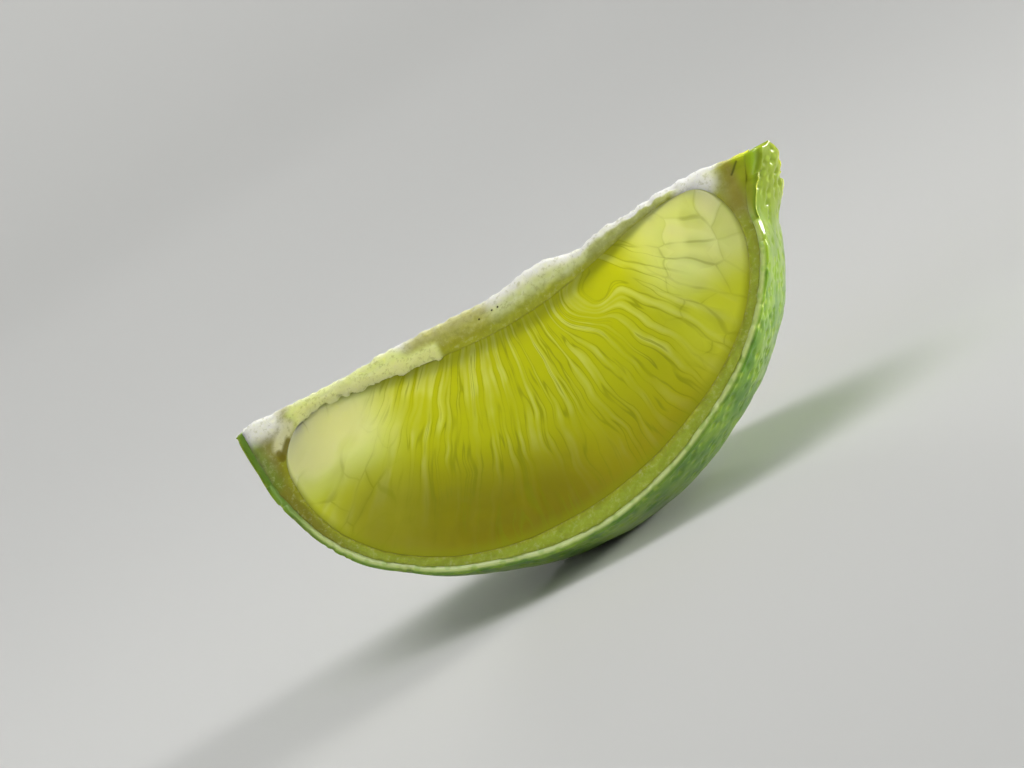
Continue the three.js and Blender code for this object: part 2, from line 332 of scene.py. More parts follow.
def sweep(sheet, name, steps):
    """Turns the upright sheet to the far cut and spins it through the wedge to the near one."""
    sheet.name = sheet.data.name = name
    bpy.ops.object.select_all(action="DESELECT")
    sheet.select_set(True)
    bpy.context.view_layer.objects.active = sheet
    bpy.ops.object.mode_set(mode="EDIT")
    bpy.ops.mesh.select_all(action="SELECT")
    bpy.ops.mesh.remove_doubles(threshold=SAME_PLACE)
    bpy.ops.transform.rotate(value=-WEDGE_ANGLE / 2, orient_axis="X", center_override=CUT_LINE)
    bpy.ops.mesh.spin(steps=steps, angle=WEDGE_ANGLE, center=CUT_LINE, axis=(1, 0, 0))
    bpy.ops.mesh.select_all(action="SELECT")
    bpy.ops.mesh.remove_doubles(threshold=SAME_PLACE)
    bpy.ops.mesh.normals_make_consistent(inside=False)
    bpy.ops.object.mode_set(mode="OBJECT")
    bpy.ops.object.shade_smooth_by_angle(angle=SHARP_ANGLE)
    ends = [[limit(v.co[i] for v in sheet.data.vertices) / MM for i in range(3)] for limit in (min, max)]
    print(name, "faces:", len(sheet.data.polygons), "from", ends[0], "to", ends[1])
    return sheet


print("a wedge of", round(math.degrees(WEDGE_ANGLE)), "degrees about", CUT_LINE[:])

# %% [markdown]
# ## Where a point is in the wedge
# Patterns on the wedge follow the fruit, not the studio. So every formula starts from the same three
# values: x, r and the angle about the cut line. They come from the Position node in Geometry Nodes
# and from Object coordinates in a material, which are the same here, as every piece sits at the
# origin. One function serves both kinds of tree.

# %% Positions in the wedge
def wedge_position(tree, position):
    """Sockets for x, r and the angle from upright of a point, in metres and radians."""
    lifted = add(tree, "ShaderNodeVectorMath", {0: position, 1: CUT_LINE}, operation="SUBTRACT")
    across = add(tree, "ShaderNodeVectorMath", {0: lifted.outputs[0], 1: (0, 1, 1)}, operation="MULTIPLY")
    r = add(tree, "ShaderNodeVectorMath", {0: across.outputs[0]}, operation="LENGTH")
    parts = add(tree, "ShaderNodeSeparateXYZ", {0: lifted.outputs[0]})
    depth = add(tree, "ShaderNodeMath", {0: parts.outputs["Z"], 1: -1.0}, operation="MULTIPLY")
    angle = add(tree, "ShaderNodeMath", {0: parts.outputs["Y"], 1: depth.outputs[0]}, operation="ARCTAN2")
    return parts.outputs["X"], r.outputs["Value"], angle.outputs[0]


def on_cut(tree, angle, margin):
    """1 on the two cuts, 0 further than `margin` degrees inside."""
    size = add(tree, "ShaderNodeMath", {0: angle}, operation="ABSOLUTE")
    return add(tree, "ShaderNodeMapRange", {
        "Value": size.outputs[0], "From Min": WEDGE_ANGLE / 2 - math.radians(margin),
        "From Max": WEDGE_ANGLE / 2 - math.radians(0.1)}, interpolation_type="SMOOTHSTEP").outputs[0]


print("each point is known by x, r and an angle up to", math.degrees(WEDGE_ANGLE) / 2, "degrees")

# %% [markdown]
# ## Marks on the section
# A notch, a stain or a scar lies in one spot. It could be painted by hand on a UV map, but a distance
# is simpler and stays sharp at any size: the nearest point of a short line is found with a dot
# product, clamped to the line's ends, and everything within a chosen distance belongs to the mark.

# %% Distance from a mark
def from_mark(tree, x, r, start, end):
    """Distance, in metres, from a short line between two points of the section."""
    start, end = (Vector((point[0] - X_CENTRE, point[1], 0)) * MM for point in (start, end))
    line = end - start
    spot = add(tree, "ShaderNodeCombineXYZ", {"X": x, "Y": r})
    reach = add(tree, "ShaderNodeVectorMath", {0: spot.outputs[0], 1: start}, operation="SUBTRACT")
    share = add(tree, "ShaderNodeVectorMath", {
        0: reach.outputs[0], 1: line / max(line.length_squared, 1e-12)}, operation="DOT_PRODUCT")
    clamped = add(tree, "ShaderNodeClamp", {"Value": share.outputs["Value"]})
    foot = add(tree, "ShaderNodeVectorMath", {0: line, "Scale": clamped.outputs[0]}, operation="SCALE")
    return add(tree, "ShaderNodeVectorMath", {
        0: reach.outputs[0], 1: foot.outputs[0]}, operation="DISTANCE").outputs["Value"]


print("marks are measured from the middle of the fruit, at x =", X_CENTRE, "mm")

# %% [markdown]
# ## Relief by Geometry Nodes
# The sweep gives knife-clean surfaces. A real wedge has relief that follows its tissues: sacs bulge
# out of the cut, the core is torn, the skin is pitted. Sculpting could add it by eye; here a Geometry
# Nodes modifier moves each vertex by a formula, and the material uses the same formula for its
# colours, so that the two always agree. The modifier is applied at once, so the mesh is final.

# %% Applying a relief
def apply_relief(piece, name, formula):
    """Moves the vertices by `formula(tree, position, normal)`, which returns a position socket."""
    tree, mesh = geometry_tree(name)
    position = add(tree, "GeometryNodeInputPosition")
    normal = add(tree, "GeometryNodeInputNormal")
    target = formula(tree, position.outputs[0], normal.outputs[0])
    moved = add(tree, "GeometryNodeSetPosition", {"Geometry": mesh, "Position": target})
    add(tree, "NodeGroupOutput", {"Geometry": moved.outputs[0]})
    piece.modifiers.new(name, "NODES").node_group = tree
    bpy.context.view_layer.objects.active = piece
    bpy.ops.object.modifier_apply(modifier=name)
    print(name, "applied to", piece.name, "with", len(tree.nodes), "nodes")


# %% [markdown]
# ## The pulp: how juice sacs lie
# A lime segment is packed with juice sacs, long thin-walled drops that grow inwards from the peel and
# fan out from the core. So their pattern is drawn in fan coordinates: the angle seen from a focus
# beyond the cut line is one axis, the distance from that focus another, and the angle through the
# wedge the third. A sine of the fan angle makes the sacs wider towards both ends. Where a seed once
# grew, the sacs curl round its scar.

# %% Fan coordinates
SAC_FOCUS_R = -9.3
SAC_WIDTH, SAC_LENGTH, SAC_DEPTH = 1.0, 7.0, 12.0
MEAN_REACH = 26.0  # from the focus to the middle of the pulp
FAN_WIDENING = 0.86  # radians; smaller makes the end cells wider
KNOT = {"from": (6.8, 5.4), "to": (8.6, 5.9), "radius": 3.8, "rise": 3.2}  # rise is in sac widths


def fan_grid(tree, position):
    """Straight fan coordinates: one unit is one sac's width, length or depth."""
    x, r, angle = wedge_position(tree, position)
    from_focus = add(tree, "ShaderNodeMath", {0: r, 1: -SAC_FOCUS_R * MM}, operation="ADD")
    fan = add(tree, "ShaderNodeMath", {0: x, 1: from_focus.outputs[0]}, operation="ARCTAN2")
    narrow = add(tree, "ShaderNodeMath", {0: fan.outputs[0], 1: 1 / FAN_WIDENING}, operation="MULTIPLY")
    wide = add(tree, "ShaderNodeMath", {0: narrow.outputs[0]}, operation="SINE")
    flat = add(tree, "ShaderNodeCombineXYZ", {"X": x, "Y": from_focus.outputs[0]})
    reach = add(tree, "ShaderNodeVectorMath", {0: flat.outputs[0]}, operation="LENGTH")
    curl = add(tree, "ShaderNodeMapRange", {
        "Value": from_mark(tree, x, r, KNOT["from"], KNOT["to"]), "From Max": KNOT["radius"] * MM,
        "To Min": KNOT["rise"], "To Max": 0.0}, interpolation_type="SMOOTHERSTEP")
    strand = add(tree, "ShaderNodeMath", {
        0: wide.outputs[0], 1: FAN_WIDENING * MEAN_REACH / SAC_WIDTH, 2: curl.outputs[0]},
        operation="MULTIPLY_ADD")
    along = add(tree, "ShaderNodeMath", {
        0: reach.outputs["Value"], 1: 1 / (SAC_LENGTH * MM)}, operation="MULTIPLY")
    through = add(tree, "ShaderNodeMath", {0: angle, 1: MEAN_REACH / SAC_DEPTH}, operation="MULTIPLY")
    return x, add(tree, "ShaderNodeCombineXYZ", {
        "X": strand.outputs[0], "Y": along.outputs[0], "Z": through.outputs[0]}).outputs[0]


print("the pulp's middle is", round(MEAN_REACH / SAC_WIDTH), "sac widths from the focus")

# %% [markdown]
# ## Sacs that wander
# Grown things are never ruled straight, so a slow noise moves the fan coordinates about a little. In
# the middle of the wedge the sacs wander freely. At its ends they read as round cells, which keep
# their place better, so the noise is weaker there, and one function knows where the ends begin.

# %% Wandering sacs
BENDS = 6.0  # size of one bend of a wandering sac
WANDER = (2.2, 0.5, 0.0)  # how far sacs wander, in sac widths, lengths and depths
WANDER_IN_ENDS = 0.45  # the share of it that is left at the ends
END_CELLS_FROM, END_CELLS_TO = 11.0, 19.0  # distance from the middle, strands give way to cells


def towards_ends(tree, x, middle_value, end_value):
    """A value that changes where the strands in the middle give way to the cells at the ends."""
    size = add(tree, "ShaderNodeMath", {0: x}, operation="ABSOLUTE")
    return add(tree, "ShaderNodeMapRange", {
        "Value": size.outputs[0], "From Min": END_CELLS_FROM * MM, "From Max": END_CELLS_TO * MM,
        "To Min": middle_value, "To Max": end_value}, interpolation_type="SMOOTHSTEP").outputs[0]


def fan_place(tree, position):
    """Fan coordinates that wander a little, so that no sac is straight."""
    x, grid = fan_grid(tree, position)
    bend = add(tree, "ShaderNodeTexNoise", {"Vector": position, "Scale": 1 / (BENDS * MM), "Detail": 2.0})
    centred = add(tree, "ShaderNodeVectorMath", {
        0: bend.outputs["Color"], 1: (0.5, 0.5, 0.5)}, operation="SUBTRACT")
    wander = add(tree, "ShaderNodeVectorMath", {0: centred.outputs[0], 1: WANDER}, operation="MULTIPLY")
    calmer = add(tree, "ShaderNodeVectorMath", {
        0: wander.outputs[0], "Scale": towards_ends(tree, x, 1.0, WANDER_IN_ENDS)}, operation="SCALE")
    return add(tree, "ShaderNodeVectorMath", {0: grid, 1: calmer.outputs[0]}, operation="ADD").outputs[0]


print("strands give way to round cells", END_CELLS_FROM, "to", END_CELLS_TO, "mm from the middle")

# %% [markdown]
# ## The round cells at the ends
# At the stem and at the nipple the knife meets the sacs across their length, so they read as round
# cells with thin walls. A Voronoi texture draws just that. It is a flat, 2D one, because in a 3D one
# the walls would tilt and smear over the cut. The texture measures in fan units, so the distance to
# a wall is divided by the slope of those units to get real millimetres and walls of one thickness.

# %% End cells
END_CELL = (1.3, 0.6, 1.0)  # size of an end cell, in widths, lengths and depths of a sac
CELL_RIPPLE = (1.6, 0.5, 0.0)  # rounds the cells' straight walls


def cell_net(tree, fan):
    """Distance to the nearest cell wall in metres, and a tint from 0 to 1 for each cell."""
    ripple = add(tree, "ShaderNodeTexNoise", {"Vector": fan, "Scale": 0.7, "Detail": 0.0})
    curved = add(tree, "ShaderNodeVectorMath", {
        0: ripple.outputs["Color"], 1: CELL_RIPPLE, 2: fan}, operation="MULTIPLY_ADD")
    cell = add(tree, "ShaderNodeVectorMath", {0: curved.outputs[0], 1: END_CELL}, operation="DIVIDE")
    settings = {"Vector": cell.outputs[0], "Scale": 1.0, "Randomness": 0.9}
    own = add(tree, "ShaderNodeTexVoronoi", settings, voronoi_dimensions="2D")
    neighbour = add(tree, "ShaderNodeTexVoronoi", settings, voronoi_dimensions="2D", feature="F2")
    walls = add(tree, "ShaderNodeTexVoronoi", settings, voronoi_dimensions="2D", feature="DISTANCE_TO_EDGE")
    across = add(tree, "ShaderNodeVectorMath", {
        0: neighbour.outputs["Position"], 1: own.outputs["Position"]}, operation="SUBTRACT")
    unit = add(tree, "ShaderNodeVectorMath", {0: across.outputs[0]}, operation="NORMALIZE")
    cell_size = (END_CELL[0] * SAC_WIDTH * MM, END_CELL[1] * SAC_LENGTH * MM)
    per_metre = add(tree, "ShaderNodeVectorMath", {
        0: unit.outputs[0], 1: (1 / cell_size[0], 1 / cell_size[1], 0.0)}, operation="MULTIPLY")
    slope = add(tree, "ShaderNodeVectorMath", {0: per_metre.outputs[0]}, operation="LENGTH")
    distance = add(tree, "ShaderNodeMath", {
        0: walls.outputs["Distance"], 1: slope.outputs["Value"]}, operation="DIVIDE")
    tint = add(tree, "ShaderNodeSeparateXYZ", {0: own.outputs["Color"]})
    return distance.outputs[0], tint.outputs[0]


print("end cells are", END_CELL[0] * SAC_WIDTH, "mm by", round(END_CELL[1] * SAC_LENGTH, 1), "mm")

# %% [markdown]
# ## Strands and walls
# In the middle the knife runs along the sacs, which read as long pale strands with thin dark outlines.
# Noise that is stretched along the fan gives both: its high values are the strands, and its level
# lines, picked out by a ping-pong, are the outlines. The walls of the round cells are drawn as two
# widths laid together, a thin line and a soft shade, because a clear skin seen edge-on is darkest
# at the wall itself and shades off beside it.

# %% Strands and walls
STRAND = (1.35, 0.6, 1.0)  # how often the strands repeat across, along and through
STRAND_PALE = (0.42, 0.72)  # noise values where a strand starts to be pale, and is all pale
OUTLINE_LEVEL, OUTLINE_WIDTH = 0.12, 0.045  # in noise values
WALL_LINE = (0.2, 0.01, 0.72)  # mm from a wall where its line starts, where it is full, how strong
WALL_SHADE = (0.8, 0.0, 0.4)  # the same for the soft shade beside it


def strand_masks(tree, fan):
    """Pale strands and their outlines, from 0 to 1."""
    stretched = add(tree, "ShaderNodeVectorMath", {0: fan, 1: STRAND}, operation="MULTIPLY")
    strands = add(tree, "ShaderNodeTexNoise", {
        "Vector": stretched.outputs[0], "Scale": 1.0, "Detail": 1.0, "Roughness": 0.4})
    pale = add(tree, "ShaderNodeMapRange", {
        "Value": strands.outputs[0], "From Min": STRAND_PALE[0], "From Max": STRAND_PALE[1]},
        interpolation_type="SMOOTHSTEP")
    level = add(tree, "ShaderNodeMath", {0: strands.outputs[0], 1: OUTLINE_LEVEL}, operation="PINGPONG")
    outline = add(tree, "ShaderNodeMapRange", {
        "Value": level.outputs[0], "From Min": OUTLINE_WIDTH, "From Max": 0.0},
        interpolation_type="SMOOTHSTEP")
    return pale.outputs[0], outline.outputs[0]


def wall_mask(tree, to_wall):
    """A thin line with a soft shade on the walls of the end cells, from 0 to 1."""
    line, shade = (add(tree, "ShaderNodeMapRange", {
        "Value": to_wall, "From Min": start * MM, "From Max": end * MM, "To Max": most},
        interpolation_type="SMOOTHSTEP") for start, end, most in (WALL_LINE, WALL_SHADE))
    both = add(tree, "ShaderNodeMath", {0: line.outputs[0], 1: shade.outputs[0]}, operation="MAXIMUM")
    return both.outputs[0]


print("strands are about", round(SAC_WIDTH / STRAND[0], 2), "mm wide")

# %% [markdown]
# ## How clearly the sacs show
# Some sacs lie under a film of juice, so a slow noise decides how clearly each patch shows. Pale
# strands fade towards the peel, where the pulp is thick, and the big sacs by the stem show no wall at
# all. One function puts all of this together, and both the relief and the colours of the pulp call it.

# %% Sac pattern
CLEAR_CELLS = ((-23.0, 6.0), (-19.0, 5.0))  # big sacs at the stem end, with no wall in sight
CLEAR_REACH = (1.3, 3.3)  # mm from the line between them
FILM_SIZE = 3.5  # mm; of the patches where a film of juice hides the sacs
THINNING = (8, 18, 0.5)  # mm from the cut line where strands start to fade, where most, how much is left


def sac_pattern(tree, position):
    """Masks from 0 to 1: sac walls, pale sacs, the two ends, and a tint for each cell there."""
    fan = fan_place(tree, position)
    pale, outline = strand_masks(tree, fan)
    to_wall, tint = cell_net(tree, fan)
    x, r, _ = wedge_position(tree, position)
    ends = towards_ends(tree, x, 0.0, 1.0)
    lines = add(tree, "ShaderNodeMix", {0: ends, 2: outline, 3: wall_mask(tree, to_wall)})
    film = add(tree, "ShaderNodeTexNoise", {
        "Vector": position, "Scale": 1 / (FILM_SIZE * MM), "Detail": 1.0})
    shown = add(tree, "ShaderNodeMapRange", {
        "Value": film.outputs[0], "From Min": 0.35, "From Max": 0.6, "To Min": 0.4},
        interpolation_type="SMOOTHSTEP")
    clear = add(tree, "ShaderNodeMapRange", {
        "Value": from_mark(tree, x, r, *CLEAR_CELLS),
        "From Min": CLEAR_REACH[0] * MM, "From Max": CLEAR_REACH[1] * MM})
    kept = add(tree, "ShaderNodeMath", {0: shown.outputs[0], 1: clear.outputs[0]}, operation="MULTIPLY")
    walls = add(tree, "ShaderNodeMath", {0: lines.outputs[0], 1: kept.outputs[0]}, operation="MULTIPLY")
    seen_tint = add(tree, "ShaderNodeMath", {0: tint, 1: clear.outputs[0]}, operation="MULTIPLY")
    thinning = add(tree, "ShaderNodeMapRange", {
        "Value": r, "From Min": THINNING[0] * MM, "From Max": THINNING[1] * MM,
        "To Min": 1.0, "To Max": THINNING[2]})
    patchy = add(tree, "ShaderNodeMath", {0: thinning.outputs[0], 1: shown.outputs[0]}, operation="MULTIPLY")
    streaks = add(tree, "ShaderNodeMath", {0: pale, 1: patchy.outputs[0]}, operation="MULTIPLY")
    return walls.outputs[0], streaks.outputs[0], ends, seen_tint.outputs[0]


print("patches under a film of juice are about", FILM_SIZE, "mm wide")

# %% [markdown]
# ## The pulp's mesh
# The pulp is one body between two outlines, the one along the core and the one along the peel. The
# chain along the peel is put in a vertex group before the bridge, and the bridge blends the group's
# weights across its rows. That costs nothing and tells later, at every point, how near the peel is.

# %% Pulp mesh
PULP_COLUMNS, PULP_ROWS, PULP_SWEEP = 250, 95, 18
core_side = trace(PULP_CORE_SIDE, PULP_COLUMNS)
peel_side = trace(PULP_PEEL_SIDE, PULP_COLUMNS, group="peel_side")
pulp = sweep(bridge(core_side, peel_side, PULP_ROWS), "juice_sacs", PULP_SWEEP)

# %% [markdown]
# ## The pulp's relief
# Sacs that the knife left whole stand out of the cut like drops, while the walls between them are
# shallow grooves, and the whole cut swells a little here and there. A bump map could fake that in a
# picture, but real height also holds in the mesh itself and at a grazing view. The relief fades out
# along the edges, so that the pulp meets the pith without a step.

# %% Pulp relief
SAC_HEIGHT, WALL_GROOVE = 0.08, 0.04
SWELL_SIZE, SWELL_HEIGHT, SWELL_SINK = 4.0, 0.5, -0.2


def sac_relief(tree, position, normal):
    """Pale sacs stand out of the cut like drops, the walls are shallow grooves, and the edge lies low."""
    _, _, angle = wedge_position(tree, position)
    walls, pale, _, _ = sac_pattern(tree, position)
    dome = add(tree, "ShaderNodeMath", {0: pale, 1: SAC_HEIGHT * MM}, operation="MULTIPLY")
    groove = add(tree, "ShaderNodeMath", {
        0: walls, 1: -WALL_GROOVE * MM, 2: dome.outputs[0]}, operation="MULTIPLY_ADD")
    lump = add(tree, "ShaderNodeTexNoise", {
        "Vector": position, "Scale": 1 / (SWELL_SIZE * MM), "Detail": 1.0})
    swell = add(tree, "ShaderNodeMath", {
        0: lump.outputs[0], 1: SWELL_HEIGHT * MM, 2: SWELL_SINK * MM}, operation="MULTIPLY_ADD")
    height = add(tree, "ShaderNodeMath", {0: groove.outputs[0], 1: swell.outputs[0]}, operation="ADD")
    row = add(tree, "GeometryNodeInputNamedAttribute", {"Name": "peel_side"}, data_type="FLOAT").outputs[0]
    from_middle = add(tree, "ShaderNodeMath", {0: row, 1: 0.5}, operation="SUBTRACT")
    off_middle = add(tree, "ShaderNodeMath", {0: from_middle.outputs[0]}, operation="ABSOLUTE")
    inland = add(tree, "ShaderNodeMapRange", {
        "Value": off_middle.outputs[0], "From Min": 0.5, "From Max": 0.4}, interpolation_type="SMOOTHSTEP")
    own = add(tree, "ShaderNodeMath", {0: height.outputs[0], 1: inland.outputs[0]}, operation="MULTIPLY")
    masked = add(tree, "ShaderNodeMath", {
        0: own.outputs[0], 1: on_cut(tree, angle, 0.4)}, operation="MULTIPLY")
    push = add(tree, "ShaderNodeVectorMath", {0: normal, "Scale": masked.outputs[0]}, operation="SCALE")
    return add(tree, "ShaderNodeVectorMath", {0: position, 1: push.outputs[0]}, operation="ADD").outputs[0]


apply_relief(pulp, "sac_relief", sac_relief)

# %% [markdown]
# ## The pulp's colours
# Blue light is lost first in pulp, so thin pulp looks pale yellow-green and thick pulp deep olive. A
# truly clear volume would show this by itself, but it takes long to render. So this light is painted
# into the colour of each depth, in layers, as a painter glazes: the base first, then the pale ends as
# painted glow, the sacs, and the deep part towards the peel and by the stem as painted shade, and
# last the sac walls and the seams along both edges, which carry painted shade where pulp meets pith.

# %% Pulp colours
STEM_SIDE_SHADE = ((-19.0, 15.5), (-2.0, 22.5))  # painted shade is darkest along this line, on the stem side


def painted(tree, under, colour, value, start, end, most=1.0):
    """`colour` laid over `under`: none where the value is `start`, `most` of it where it is `end`."""
    mask = add(tree, "ShaderNodeMapRange", {
        "Value": value, "From Min": start, "From Max": end, "To Max": most}, interpolation_type="SMOOTHSTEP")
    return add(tree, "ShaderNodeMix", {
        0: mask.outputs[0], 6: under, 7: linear(colour)}, data_type="RGBA").outputs[2]


def juice_colour(tree, coords, x, from_line, near_peel):
    """The colour of the pulp at a point, in layers from the base up."""
    walls, pale, ends, tint = sac_pattern(tree, coords)
    near_core = add(tree, "ShaderNodeMapRange", {
        "Value": from_line, "From Min": 13 * MM, "From Max": 6 * MM}, interpolation_type="SMOOTHSTEP")
    glow_near_core = add(tree, "ShaderNodeMath", {0: near_core.outputs[0], 1: ends}, operation="MULTIPLY")
    cell_tint = add(tree, "ShaderNodeMath", {0: tint, 1: ends}, operation="MULTIPLY")
    stem_shade = from_mark(tree, x, from_line, *STEM_SIDE_SHADE)
    flesh = linear("#c8cc08")
    for colour, value, start, end, most in (
            ("#dce236", ends, 0.0, 1.0, 1.0),  # painted glow: both ends are thinner, so light comes through and they look paler
            ("#f6fda6", glow_near_core.outputs[0], 0.0, 1.0, 1.0),  # painted glow, palest next to the core
            ("#c8d420", cell_tint.outputs[0], 0.3, 1.0, 0.3),  # each round cell differs slightly
            ("#e8ec84", pale, 0.0, 1.0, 0.5),  # pale strands
            ("#a09200", from_line, 13 * MM, 25 * MM, 0.8),  # painted shade: thick pulp towards the peel lets less light through
            ("#867c00", stem_shade, 8 * MM, 1 * MM, 0.6),  # painted shade, darkest on the stem side
            ("#969c00", walls, 0.0, 1.0, 0.6),  # sac walls
            ("#a4ac04", near_peel, 0.93, 1.0, 0.6),  # the seam along the peel, darkened with painted shade where the pulp meets the pith
            ("#98a004", near_peel, 0.09, 0.02, 0.5)):  # and the one along the core, darkened with painted shadow under the crest
        flesh = painted(tree, flesh, colour, value, start, end, most)
    return flesh


# both colours stand for light: the painted glow of thin pulp, and the darkest painted shade
print("thin pulp:", linear("#f6fda6")[:3], "thick pulp:", linear("#867c00")[:3])

# %% [markdown]
# ## The pulp's finish: wet juice sacs
# Juice sacs are water in clear skins, so the IOR is near that of water and the surface is wet, though
# the torn skins break up its gloss. Light travels far in the pulp before it comes out again, and that
# is the glow. Random-walk subsurface scattering does this once its radius is long enough: over two
# centimetres in the thick middle, and less in the thin ends and among the small sacs along the
# edges, where light turns sooner.

# %% Pulp material
FREE_PATH, FREE_PATH_IN_ENDS, FREE_PATH_BY_EDGE = 24.0, 7.0, 1.0


def juice_free_path(tree, x, near_peel):
    """How far light runs in the pulp, in metres: far in the middle, less in the ends, least by an edge."""
    inside_path = towards_ends(tree, x, FREE_PATH * MM, FREE_PATH_IN_ENDS * MM)
    to_peel, to_core = (add(tree, "ShaderNodeMapRange", {
        "Value": near_peel, "From Min": start, "From Max": end, "To Min": inside_path,
        "To Max": FREE_PATH_BY_EDGE * MM}) for start, end in ((0.5, 0.97), (0.12, 0.01)))
    return add(tree, "ShaderNodeMath", {
        0: to_peel.outputs[0], 1: to_core.outputs[0]}, operation="MINIMUM").outputs[0]


# Wet and clear: a soft shine on top, and a yellow-green glow from inside, as blue light gets less far.
juice, tree, shader = finish_material("wet_juice_sacs", {
    "Roughness": 0.36, "IOR": 1.36, "Specular IOR Level": 0.2, "Subsurface Weight": 1.0,
    "Subsurface Radius": (1.0, 1.0, 0.6)})
coords = add(tree, "ShaderNodeTexCoord").outputs["Object"]
x, r, _ = wedge_position(tree, coords)
peel_group = add(tree, "ShaderNodeAttribute", attribute_name="peel_side", attribute_type="GEOMETRY")
near_peel = peel_group.outputs["Fac"]
tree.links.new(juice_colour(tree, coords, x, r, near_peel), shader.inputs["Base Color"])
tree.links.new(juice_free_path(tree, x, near_peel), shader.inputs["Subsurface Scale"])
pulp.data.materials.append(juice)
print(juice.name, "has", len(tree.nodes), "nodes")

# %% [markdown]
# ## The pith's mesh
# The pith is the dry white tissue: the core strip along the top, and a thin layer between pulp and
# rind. Its section is a ring round the pulp. A ring with such thin parts fills badly in one go, so it
# is drawn as two sheets that share their ends: one from the crest to the pulp's core side, and one
# from the inside of the rind to the pulp's peel side.

# %% Pith mesh
RIND_THICKNESS, TISSUE_GAP = 0.85, 0.02
CORE_COLUMNS, RING_COLUMNS, PITH_ROWS, PITH_SWEEP = 240, 300, 12, 36
under_rind = shifted(SKIN_OUTLINE, -RIND_THICKNESS - TISSUE_GAP)
crest_run = [under_rind[0], *CREST[1:-1], under_rind[-1]]
core_run = shifted(PULP_CORE_SIDE, -TISSUE_GAP)
peel_run = shifted(PULP_PEEL_SIDE, TISSUE_GAP)
core_run[0] = peel_run[0]
core_run[-1] = peel_run[-1]
core_sheet = bridge(trace(crest_run, CORE_COLUMNS, group="crest"),
                    trace(core_run, CORE_COLUMNS, group="by_pulp"), PITH_ROWS)
ring_sheet = bridge(trace(under_rind, RING_COLUMNS),
                    trace(peel_run, RING_COLUMNS, group="by_pulp"), PITH_ROWS)
bpy.ops.object.select_all(action="DESELECT")
ring_sheet.select_set(True)
core_sheet.select_set(True)
bpy.context.view_layer.objects.active = core_sheet
bpy.ops.object.join()
pith = sweep(bpy.context.object, "spongy_pith", PITH_SWEEP)

# %% [markdown]
# ## The nipple
# At its blossom end a lime has a nipple, which here leans away from the near cut. It could be a piece
# of its own, but peel and pith rise into it together, so one formula stretches both pieces along the
# fruit: a smooth bump over the end, with a share that grows from the pulp outwards, so that the rind
# is two to three times as thick there as elsewhere.

# %% Nipple
NIPPLE = {"height": 4.4, "radius": 8.2, "y": 3.05, "drop": 1.0}
NIPPLE_SHARES = ((21.9, 0.0), (25.8, 0.6), (26.6, 1.0))  # x in mm, share of the rise


def nippled(tree, position, share_socket=1.0):
    """The position moved along +X where it lies in the nipple, by its share of the rise."""
    centre = Vector((0, NIPPLE["y"], CUT_LINE_HEIGHT - NIPPLE["drop"])) * MM
    flat = add(tree, "ShaderNodeVectorMath", {0: position, 1: (0, 1, 1)}, operation="MULTIPLY")
    away = add(tree, "ShaderNodeVectorMath", {0: flat.outputs[0], 1: centre}, operation="DISTANCE")
    reach = add(tree, "ShaderNodeMath", {
        0: away.outputs["Value"], 1: 1 / (NIPPLE["radius"] * MM)}, operation="MULTIPLY", use_clamp=True)
    squared = add(tree, "ShaderNodeMath", {0: reach.outputs[0], 1: 2.0}, operation="POWER")
    rest = add(tree, "ShaderNodeMath", {0: 1.0, 1: squared.outputs[0]}, operation="SUBTRACT")
    bump = add(tree, "ShaderNodeMath", {0: rest.outputs[0], 1: 2.0}, operation="POWER")
    x = add(tree, "ShaderNodeSeparateXYZ", {0: position}).outputs["X"]
    steps = []
    for (x0, share0), (x1, share1) in zip(NIPPLE_SHARES, NIPPLE_SHARES[1:]):
        steps.append(add(tree, "ShaderNodeMapRange", {
            "Value": x, "From Min": (x0 - X_CENTRE) * MM, "From Max": (x1 - X_CENTRE) * MM,
            "To Max": (share1 - share0) * NIPPLE["height"] * MM}).outputs[0])
    share = add(tree, "ShaderNodeMath", {0: steps[0], 1: steps[1]}, operation="ADD")
    own = add(tree, "ShaderNodeMath", {0: share.outputs[0], 1: share_socket}, operation="MULTIPLY")
    rise = add(tree, "ShaderNodeMath", {0: bump.outputs[0], 1: own.outputs[0]}, operation="MULTIPLY")
    move = add(tree, "ShaderNodeCombineXYZ", {"X": rise.outputs[0]})
    return add(tree, "ShaderNodeVectorMath", {0: position, 1: move.outputs[0]}, operation="ADD").outputs[0]


print("the nipple is", NIPPLE["height"], "mm high and", 2 * NIPPLE["radius"], "mm wide")

# %% [markdown]
# ## The torn membrane
# Where the wedge was pulled off the rest of the core, a strip of membrane stayed on it and hangs over
# the near cut as a torn lip. A separate sheet would need its own fit to the core. Here a mask says
# where the strip lies, as a product of five simple limits, and both relief and colours use it.

# %% Torn lip
LIP = {"from": -24.5, "to": -6.8, "height": 0.16, "overhang": 0.4, "lowest_r": 5.6}


